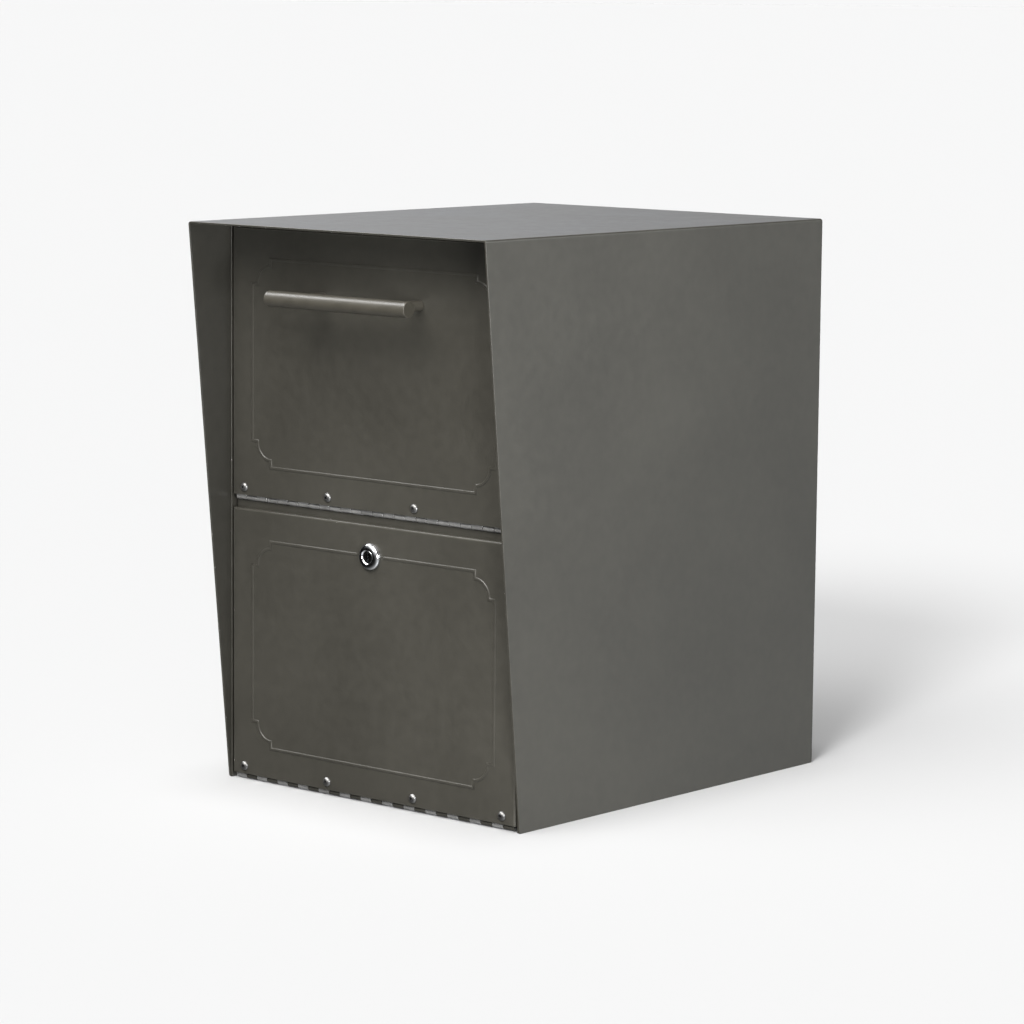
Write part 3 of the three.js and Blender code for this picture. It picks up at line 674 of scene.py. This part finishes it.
def make_leaf(node, pin, ways, first, holes, coats):
    """A hinge leaf: a drilled sheet and every other knuckle of the barrel, each with its coat."""
    forward, away = ways
    length = KNUCKLES * KNUCKLE_PITCH
    face = pin + forward * KNUCKLE_RADIUS
    behind = pin + forward * (KNUCKLE_RADIUS - LEAF_SHEET)
    corners = [
        face + away * LEAF_START, face + away * LEAF_REACH,
        behind + away * LEAF_REACH, behind + away * LEAF_START,
    ]
    sheet = prism(corners, "X", -length / 2, length / 2)
    for hole in holes:
        sheet = boolean(sheet, hole)
    for face in sheet.faces:
        face.material_index = 1
    parts = [round_edges(sheet, 0.2 * MM, 1)]
    outline = knuckle_outline(pin, ways)
    for index in range(first, KNUCKLES, 2):
        start = -length / 2 + index * KNUCKLE_PITCH + KNUCKLE_GAP / 2
        knuckle = prism(outline, "X", start, start + KNUCKLE_PITCH - KNUCKLE_GAP)
        parts.append(round_edges(knuckle, 0.15 * MM, 1))
    piece(merged(*parts), node, *coats)


def make_hinges():
    """Piano hinges of zinc-plated steel. The upper frame leaf's sheet takes the cabinet's paint, and so
    does all of the lower frame leaf, whose knuckles show dark between the door leaf's bright ones.
    """
    # The hinges' zinc is lighter and less metallic than the screws' zinc: a painted reflection of the pale
    # table, which glossy rays don't see.
    zinc = plated("hinge_zinc_with_painted_reflection", (0.46, 0.46, 0.455), 0.33, (0.15, 1, 1), 0.72)
    paint = MATERIALS["bronze_paint"]
    for door in ("upper", "lower"):
        low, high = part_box(f"{door}_hinge_pin")
        pin = Vector(((low.y + high.y) / 2, (low.z + high.z) / 2))
        radius = (high.z - low.z) / 2 + 0.03 * MM
        rings = [
            (low.x, "round", radius * 0.7), (low.x + 0.3 * MM, "round", radius),
            (high.x - 0.3 * MM, "round", radius), (high.x, "round", radius * 0.7),
        ]
        piece(turned("X", pin, rings, 16), f"{door}_hinge_pin")
        front, up, down, back = Vector((-1, 0)), Vector((0, 1)), Vector((0, -1)), Vector((1, 0))
        holes = []
        for number in range(1, 5):
            place = centre_of(f"{door}_door_screw_{number}")
            span = [(pin.x - 5 * MM, "round", SCREW_HOLE), (pin.x + MM, "round", SCREW_HOLE)]
            holes.append(turned("Y", (place.x, place.z), span, 16))
        node = f"{door}_hinge_door_leaf"
        make_leaf(node, pin, (front, up), 0, holes, (zinc, zinc))
        holes = []
        for number in range(1, 5):
            if door == "upper":
                place = centre_of(f"hinge_rivet_{number}")
                span = [(pin.x, "round", FRAME_HOLE), (pin.x + 5 * MM, "round", FRAME_HOLE)]
                holes.append(turned("Y", (place.x, place.z), span, 16))
            else:
                place = centre_of(f"sill_screw_{number}")
                span = [(0, "round", FRAME_HOLE), (5 * MM, "round", FRAME_HOLE)]
                holes.append(turned("Z", (place.x, place.y), span, 16))
        ways = (back, down) if door == "upper" else (down, back)
        # The lower frame leaf, knuckles too, takes the dark cabinet paint, which makes dark dashes between
        # the bright knuckles along the foot.
        coats = (zinc, paint) if door == "upper" else (paint, paint)
        make_leaf(f"{door}_hinge_frame_leaf", pin, ways, 1, holes, coats)


# ---------- fasteners ----------


def button_screw(axis, centre, seat, out, head_radius, shank_radius, tip, height):
    """Button-head screw with a hexagon socket. out is -1 or 1, the way its head faces."""
    def ring(proud, kind, radius):
        return (seat + out * proud, kind, radius)

    socket = head_radius * 0.4
    rings = [
        ring(height * 0.02, "hexagon", socket * 0.9),
        ring(height * 0.1, "hexagon", socket),
        ring(height - 0.05 * MM, "hexagon", socket),
        ring(height, "round", socket * 1.22),
    ]
    steps = 7
    for step in range(steps + 1):
        angle = math.radians(18 + 66 * step / steps)
        rings.append(ring(height * math.cos(angle) * 1.05, "round", head_radius * math.sin(angle)))
    rings += [
        ring(0.25 * MM, "round", head_radius), ring(0, "round", head_radius - 0.15 * MM),
        ring(0, "round", shank_radius), (tip + out * 0.4 * MM, "round", shank_radius),
        (tip, "round", shank_radius * 0.75),
    ]
    return turned(axis, centre, rings, 24)


def hex_nut(axis, centre, start, end, across, bore):
    """Hexagon nut, its corners chamfered on both faces."""
    chamfer = 0.35 * MM
    face = across / 2 * 0.98
    rings = [
        (start, "round", bore), (start, "round", face),
        (start + chamfer, "hexagon", across / 2), (end - chamfer, "hexagon", across / 2),
        (end, "round", face), (end, "round", bore),
    ]
    return turned(axis, centre, rings, 36, "loop")


def make_door_fasteners():
    for door in ("upper", "lower"):
        for number in range(1, 5):
            node = f"{door}_door_screw_{number}"
            low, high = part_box(node)
            middle = (low + high) / 2
            radius = (high.x - low.x) / 2
            seat = DOOR_FACE - 0.05 * MM
            bm = button_screw(
                "Y", (middle.x, middle.z), seat, -1, radius, SCREW_SHANK, high.y, seat - low.y)
            piece(bm, node)
            node = f"{door}_door_nut_{number}"
            low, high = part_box(node)
            start = low.y - NUT_SINK
            piece(hex_nut("Y", (middle.x, middle.z), start, high.y, NUT_FLATS, NUT_BORE), node)


def make_frame_fasteners():
    for number in range(1, 5):
        node = f"hinge_rivet_{number}"
        low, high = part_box(node)
        middle = (low + high) / 2
        front = low.y + MM
        rear = high.y - MM
        rings = [
            (low.y, "round", 1.2 * MM), (low.y + 0.1 * MM, "round", 2.2 * MM),
            (low.y + 0.5 * MM, "round", 2.85 * MM), (front, "round", 3 * MM),
            (front, "round", 1.9 * MM), (rear, "round", 1.9 * MM), (rear, "round", 2.6 * MM),
            (high.y - 0.3 * MM, "round", 2.4 * MM), (high.y, "round", 1.4 * MM),
        ]
        piece(turned("Y", (middle.x, middle.z), rings, 24), node)
        node = f"sill_screw_{number}"
        low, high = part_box(node)
        middle = (low + high) / 2
        radius = (high.x - low.x) / 2
        seat = high.z - 1.8 * MM
        bm = button_screw(
            "Z", (middle.x, middle.y), seat, 1, radius, SILL_SCREW_SHANK, low.z, high.z - seat)
        piece(bm, node)


# ---------- doors ----------


def bead_ring(half_height, shift, near_lock):
    """The bead's outline moved outwards by shift. Each corner steps in to a quarter round."""
    radius = BEAD_RADIUS + shift
    turn = math.asin(shift / radius)
    centre_x = BEAD_HALF_WIDTH - BEAD_CORNER_RUN
    centre_z = half_height - BEAD_CORNER_RUN
    steps = 12
    corner = [(centre_x + shift, half_height + shift)]
    for step in range(steps + 1):
        angle = math.pi / 2 - turn - step / steps * (math.pi / 2 - 2 * turn)
        corner.append((centre_x + radius * math.cos(angle), centre_z + radius * math.sin(angle)))
    corner.append((BEAD_HALF_WIDTH + shift, centre_z + shift))
    back = corner[::-1]
    ring = corner + [(x, -z) for x, z in back] + [(-x, -z) for x, z in corner]
    ring += [(-x, z) for x, z in back]
    places = [LOCK_CLEAR + LOCK_FADE * part / 5 for part in range(6)] if near_lock else []
    top = half_height + shift
    return ring + [(-x, top) for x in places[::-1]] + [(x, top) for x in places]


def emboss(bm, face, half_height, middle, lock_z):
    """Replaces a flat face of a door by the same face with the bead pressed forwards in it."""
    plane = face.verts[0].co.y
    boundary = list(face.edges)
    bmesh.ops.delete(bm, geom=[face], context="FACES_ONLY")
    flank = [0.35 + 0.65 * step / 6 for step in range(7)]
    shifts = [BEAD_HALF * part for part in [-part for part in flank[::-1]] + flank]
    loops = []
    for shift in shifts:
        down = (abs(shift) / BEAD_HALF - flank[0]) / (1 - flank[0])
        rise = BEAD_PROUD * (0.5 + 0.5 * math.cos(math.pi * down))
        loop = []
        for x, z in bead_ring(half_height, shift, lock_z is not None):
            fade = 1.0
            if lock_z is not None:
                away = math.hypot(x, middle + z - lock_z) - LOCK_CLEAR
                fade = min(1, max(0, away / LOCK_FADE))
                fade = fade * fade * (3 - 2 * fade)
            loop.append(bm.verts.new((x, plane - rise * fade, middle + z)))
        loops.append(loop)
    for first, second in zip(loops, loops[1:]):
        for index in range(len(first)):
            after = (index + 1) % len(first)
            bm.faces.new([first[index], first[after], second[after], second[index]])
    outer = [bm.edges.get((loops[-1][i - 1], loops[-1][i])) for i in range(len(loops[-1]))]
    bm.faces.new(loops[0])
    bmesh.ops.triangle_fill(bm, use_beauty=True, edges=outer + boundary)


def make_door(door, lock_z, drilled):
    """Door pan: skin with a pressed bead, and its side and top edges turned back."""
    node = f"{door}_door_panel"
    low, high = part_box(node)
    low = Vector((low.x, DOOR_FACE, low.z))
    hollow_low = Vector((low.x + SHEET, SKIN_BACK, low.z - SHEET))
    hollow_high = Vector((high.x - SHEET, high.y + SHEET, high.z - SHEET))

    bm = open_pan(low, high, hollow_low, hollow_high, [
        (lambda e: lies_at(e, 1, DOOR_FACE) and not lies_at(e, 2, low.z), BEND_OUTSIDE_DOOR),
        (lambda e: lies_at(e, 1, SKIN_BACK) and not lies_at(e, 2, low.z), BEND_INSIDE_DOOR),
    ])
    half_height = (high.z - BEAD_MARGIN_TOP - low.z - BEAD_MARGIN_BOTTOM) / 2
    middle = low.z + BEAD_MARGIN_BOTTOM + half_height
    for plane, way in ((DOOR_FACE, -1), (SKIN_BACK, 1)):
        face = max((f for f in bm.faces if abs(f.calc_center_median().y - plane) < 0.05 * MM
                    and f.normal.y * way > 0.99), key=lambda f: f.calc_area())
        emboss(bm, face, half_height, middle, lock_z)
    bmesh.ops.recalc_face_normals(bm, faces=bm.faces)
    for x, z, radius in drilled:
        span = [(DOOR_FACE - 3 * MM, "round", radius), (SKIN_BACK + MM, "round", radius)]
        bm = boolean(bm, turned("Y", (x, z), span, 32))
    piece(bm, node)


def screw_holes(door):
    places = [centre_of(f"{door}_door_screw_{number}") for number in range(1, 5)]
    return [(place.x, place.z, SCREW_HOLE) for place in places]


def make_doors():
    posts = [centre_of(f"handle_post_{hand}") for hand in ("left", "right")]
    make_door("upper", None, screw_holes("upper") + [(p.x, p.z, POST_HOLE) for p in posts])
    lock = centre_of("lock_housing")
    make_door("lower", lock.z, screw_holes("lower") + [(lock.x, lock.z, LOCK_HOLE)])


# ---------- handle ----------


def make_handle():
    """Round bar with softened ends, on two posts shaped to its underside."""
    low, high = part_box("handle_bar")
    centre = ((low.y + high.y) / 2, (low.z + high.z) / 2)
    radius = (high.z - low.z) / 2
    rings = []
    for part in range(5):
        angle = math.pi / 2 * part / 4
        soft = 0.7 * MM
        rings.append((low.x + soft * (1 - math.sin(angle)), "round",
                      radius - soft * (1 - math.cos(angle))))
    start = [(x, kind, r) for x, kind, r in rings[::-1]]
    end = [(low.x + high.x - x, kind, r) for x, kind, r in rings]
    bar = turned("X", centre, start + end, 48)
    # The rounded ends are marked as edge, so their paint is lighter: worn thin and a painted highlight on
    # the rims.
    mark = bar.faces.layers.float.new("edge")
    for face in bar.faces:
        face[mark] = float(0.05 < abs(face.normal.x) < 0.95)
    piece(bar, "handle_bar")
    for hand in ("left", "right"):
        node = f"handle_post_{hand}"
        low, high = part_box(node)
        middle = (low + high) / 2
        post = (high.x - low.x) / 2
        seat = high.y + 0.2 * MM
        rings = [(seat - 12 * MM, "round", POST_SPIGOT_HOLE), (seat, "round", POST_SPIGOT_HOLE),
                 (seat, "round", post - 0.2 * MM), (seat - 0.2 * MM, "round", post)]
        rings += [(centre[0], "round", post), (centre[0], "round", 1.5 * MM)]
        bm = turned("Y", (middle.x, middle.z), rings, 32)
        for vert in bm.verts:
            if abs(vert.co.y - centre[0]) < 0.01 * MM:
                off = vert.co.z - centre[1]
                vert.co.y = centre[0] + math.sqrt((radius + 0.02 * MM) ** 2 - off * off)
        piece(bm, node)
        node = f"handle_screw_{hand}"
        low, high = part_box(node)
        bm = button_screw("Y", (middle.x, middle.z), high.y - 2.6 * MM, 1, 5 * MM, 2.45 * MM,
                          low.y, 2.6 * MM)
        piece(bm, node)


# ---------- hopper ----------


def make_tray():
    """Sloping tray between the cheeks."""
    low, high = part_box("hopper_tray")
    pin = centre_of("upper_hinge_pin")
    level = pin.z + TRAY_ABOVE_PIN
    bend = pin.y + TRAY_LIP
    end = (bend + TRAY_LENGTH * math.cos(TRAY_SLOPE), level - TRAY_LENGTH * math.sin(TRAY_SLOPE))
    path = [(low.y, level), (bend, level), end]
    bm = prism(folded(path, SHEET, inside=2 * MM), "X", low.x, high.x)
    piece(round_edges(bm, EDGE_ROUND), "hopper_tray")


def make_cheeks():
    for hand in ("left", "right"):
        node = f"hopper_cheek_{hand}"
        piece(round_edges(from_cad(node), 0.25 * MM, 2), node)


# ---------- lock ----------


def make_lock():
    """Chrome housing with a domed bezel round a recessed plug with a keyway."""
    low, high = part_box("lock_housing")
    place = centre_of("lock_housing")
    bezel = (high.x - low.x) / 2
    seat = DOOR_FACE - 0.02 * MM
    proud = seat - low.y
    rings = [(high.y, "round", LOCK_BORE), (high.y, "round", LOCK_BODY - 0.6 * MM),
             (high.y - 0.6 * MM, "round", LOCK_BODY), (seat, "round", LOCK_BODY),
             (seat, "round", bezel - 0.3 * MM), (seat - 0.4 * MM, "round", bezel)]
    steps = 10
    for step in range(1, steps + 1):
        angle = math.pi / 2 * step / steps
        reach = LOCK_RIM + (bezel - LOCK_RIM) * math.cos(angle)
        rings.append((seat - 0.4 * MM - (proud - 0.4 * MM) * math.sin(angle), "round", reach))
    rings += [(low.y + 0.1 * MM, "round", LOCK_BORE + MM),
              (low.y + 0.9 * MM, "round", LOCK_BORE + 0.6 * MM),
              (low.y + 1.4 * MM, "round", LOCK_BORE)]
    piece(turned("Y", (place.x, place.z), rings, 64, "loop"), "lock_housing")
    low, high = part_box("lock_plug")
    radius = (high.z - low.z) / 2
    face = low.y + 0.7 * MM
    rings = [(face + 0.35 * MM, "round", radius * 0.55), (face, "round", radius * 0.62),
             (face, "round", radius - 0.5 * MM), (face + 0.4 * MM, "round", radius),
             (high.y, "round", radius)]
    plug = turned("Y", (place.x, place.z), rings, 48)
    half, tall = KEYWAY_HALF, KEYWAY_TALL
    keyway = filleted([(-half, -tall, half * 0.5), (half, -tall, half * 0.5),
                       (half, -tall * 0.2, 0), (half * 1.7, 0, 0), (half, tall * 0.2, 0),
                       (half, tall, half * 0.5), (-half, tall, half * 0.5)])
    outline = [(place.x + u, place.z + v) for u, v in keyway]
    plug = boolean(plug, prism(outline, "Y", low.y - MM, low.y + 8 * MM))
    tapping = [(high.y - 6 * MM, "round", LOCK_TAPPING), (high.y + MM, "round", LOCK_TAPPING)]
    piece(boolean(plug, turned("Y", (place.x, place.z), tapping, 20)), "lock_plug")
    piece(round_edges(from_cad("lock_cam"), 0.3 * MM, 2), "lock_cam")
    low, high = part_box("lock_nut")
    bore = LOCK_BODY + 0.05 * MM
    bm = hex_nut("Y", (place.x, place.z), low.y - NUT_SINK, high.y, LOCK_NUT_FLATS, bore)
    piece(bm, "lock_nut")
    low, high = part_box("cam_screw")
    seat = high.y - 2 * MM
    bm = button_screw("Y", (place.x, place.z), seat, 1, 4 * MM, 1.8 * MM, low.y, 2 * MM)
    piece(bm, "cam_screw")


make_wrap()
make_back_panel()
make_floor()
make_liners()
make_jambs()
make_rails()
make_baffle()
make_bumpers()
make_hinges()
make_door_fasteners()
make_frame_fasteners()
make_doors()
make_handle()
make_tray()
make_cheeks()
make_lock()


# ---------- stage ----------


def make_floor_plane():
    """A wide pale table, which leaves no mirror image in the paint."""
    bm = bmesh.new()
    corners = [(-TABLE_HALF, -TABLE_HALF), (TABLE_HALF, -TABLE_HALF), (TABLE_HALF, TABLE_HALF),
               (-TABLE_HALF, TABLE_HALF)]
    bm.faces.new([bm.verts.new((x, y, 0)) for x, y in corners])
    floor = loose_object(bm, "studio_floor")
    material, tree, shader = new_material("pale_floor")
    shader.inputs["Base Color"].default_value = (TABLE_TONE, TABLE_TONE, TABLE_TONE, 1)
    shader.inputs["Roughness"].default_value = 0.9
    shader.inputs["Specular IOR Level"].default_value = 0.0
    floor.data.materials.append(material)
    floor.visible_glossy = False
    return floor


def direction(azimuth, elevation):
    """Way out to a place in the studio. Azimuth 0 is in front of the doors, 90 to their right."""
    a, e = math.radians(azimuth), math.radians(elevation)
    return Vector((math.sin(a) * math.cos(e), -math.cos(a) * math.cos(e), math.sin(e)))


def make_world():
    """Dark studio with a few wide soft glows in it. The camera sees a plain pale backdrop instead."""
    world = bpy.data.worlds.new("studio")
    world.use_nodes = True
    tree = world.node_tree
    way = add_node(tree, "ShaderNodeTexCoord").outputs["Generated"]
    total = None
    for azimuth, elevation, power, strength, colour in GLOWS:
        facing = add_node(tree, "ShaderNodeVectorMath", {0: way, 1: direction(azimuth, elevation)},
                          operation="DOT_PRODUCT").outputs["Value"]
        lobe = maths(tree, "POWER", maths(tree, "MAXIMUM", facing, 0.0), power)
        tint = add_node(tree, "ShaderNodeVectorMath", {0: [c * strength for c in colour], "Scale": lobe},
                        operation="SCALE").outputs["Vector"]
        if total is not None:
            tint = add_node(tree, "ShaderNodeVectorMath", {0: total, 1: tint}).outputs["Vector"]
        total = tint
    background = tree.nodes["Background"]
    tree.links.new(total, background.inputs["Color"])
    background.inputs["Strength"].default_value = 1.0
    backdrop = add_node(tree, "ShaderNodeBackground", {"Color": (1, 1, 1, 1), "Strength": BACKDROP_GLOW})
    seen = add_node(tree, "ShaderNodeLightPath").outputs["Is Camera Ray"]
    studio = add_node(tree, "ShaderNodeMixShader",
                      {0: seen, 1: background.outputs[0], 2: backdrop.outputs[0]})
    tree.links.new(studio.outputs[0], tree.nodes["World Output"].inputs["Surface"])
    SCENE.world = world


def add_lamp(kind, name, strength, colour, towards, distance):
    data = bpy.data.lights.new(name, kind)
    data.energy = strength
    data.color = colour
    lamp = bpy.data.objects.new(name, data)
    lamp.rotation_mode = "QUATERNION"
    lamp.rotation_quaternion = towards.to_track_quat("Z", "Y")
    lamp.location = towards * distance
    lamp.visible_camera = False
    SCENE.collection.objects.link(lamp)
    return lamp


def leaving_out(name, *objects):
    """A collection that makes a lamp light everything but the objects."""
    made = bpy.data.collections.new(name)
    for obj in objects:
        made.objects.link(obj)
    for member in made.collection_objects:
        member.light_linking.link_state = "EXCLUDE"
    return made


def make_lamps(floor):
    """Soft lamps. Some light only the table and throw the shadows, the others only the box."""
    table = bpy.data.collections.new("table")
    table.objects.link(floor)
    for name, azimuth, elevation, spread, strength in TABLE_SUNS:
        lamp = add_lamp("SUN", name, strength, PLAIN, direction(azimuth, elevation), SUN_DISTANCE)
        lamp.data.angle = math.radians(spread)
        lamp.light_linking.receiver_collection = table
    others = leaving_out("all_but_table", floor)
    wrap = bpy.data.objects["outer_wrap_looks"]
    others_but_wrap = leaving_out("all_but_table_and_wrap", floor, wrap)
    for name, azimuth, elevation, spread, strength, colour in SUNS:
        lamp = add_lamp("SUN", name, strength, colour, direction(azimuth, elevation), SUN_DISTANCE)
        lamp.data.angle = math.radians(spread)
        lamp.light_linking.receiver_collection = others
    for name, azimuth, reach, height, size, strength, colour in SOFTBOXES:
        lamp = add_lamp("AREA", name, strength, colour, direction(azimuth, 0), reach)
        lamp.data.shape = "DISK"
        lamp.data.size = size
        lamp.location.z = height
        aim = lamp.location - Vector((0, 0, CAD_HIGH.z / 2))
        lamp.rotation_quaternion = aim.to_track_quat("Z", "Y")
        lamp.light_linking.receiver_collection = others_but_wrap if name == HIGH_SOFTBOX else others


def make_camera():
    back = direction(CAMERA_AZIMUTH, CAMERA_ELEVATION)
    right = Vector((0, 0, 1)).cross(back).normalized()
    up = back.cross(right)
    place = back * CAMERA_DISTANCE + right * CAMERA_RIGHT + up * CAMERA_UP
    rolled_right = right * math.cos(CAMERA_ROLL) + up * math.sin(CAMERA_ROLL)
    rolled_up = up * math.cos(CAMERA_ROLL) - right * math.sin(CAMERA_ROLL)
    data = bpy.data.cameras.new("camera")
    data.lens = CAMERA_LENS
    data.sensor_width = CAMERA_SENSOR
    data.clip_end = CAMERA_REACH
    camera = bpy.data.objects.new("camera", data)
    turn = Matrix((rolled_right, rolled_up, back)).transposed().to_4x4()
    camera.matrix_world = Matrix.Translation(place) @ turn
    SCENE.collection.objects.link(camera)
    SCENE.camera = camera


make_world()
make_lamps(make_floor_plane())
make_camera()
SCENE.view_settings.view_transform = "Standard"
